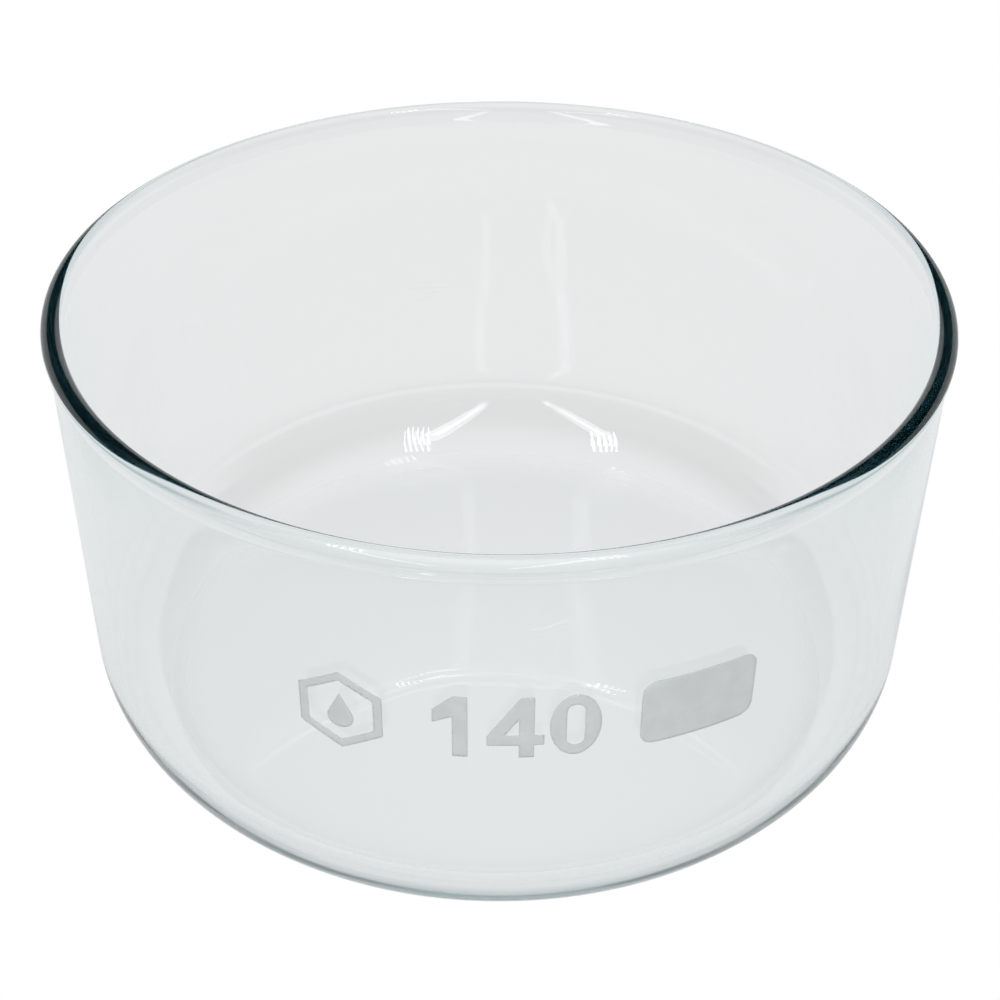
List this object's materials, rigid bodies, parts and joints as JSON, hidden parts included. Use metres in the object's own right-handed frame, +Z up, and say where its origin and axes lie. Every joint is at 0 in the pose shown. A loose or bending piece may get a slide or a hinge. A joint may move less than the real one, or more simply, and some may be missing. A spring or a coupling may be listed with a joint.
{
  "type": "evaporating dish",
  "caption": "Flat-bottomed straight-walled glass evaporating dish without a spout, with a fire-polished rim bead, a rounded heel and fired grey enamel marks.",
  "frame": {"origin": "on the dish's axis, in the plane of the foot ring it stands on", "axes": "+Z up the dish's axis through the mouth, -Y towards the printed marks, +X to the right as the marks are read"},
  "size_m": [0.14, 0.14, 0.075],
  "materials": {
    "clear_glass": "clear, fire-polished",
    "grey_enamel": "matt fired enamel"
  },
  "bodies": {
    "root": {"dish": "clear_glass", "writing_field": "grey_enamel", "numeral_1": "grey_enamel", "numeral_4": "grey_enamel", "numeral_0": "grey_enamel", "hexagon_mark": "grey_enamel", "drop_mark": "grey_enamel"}
  },
  "joints": []
}
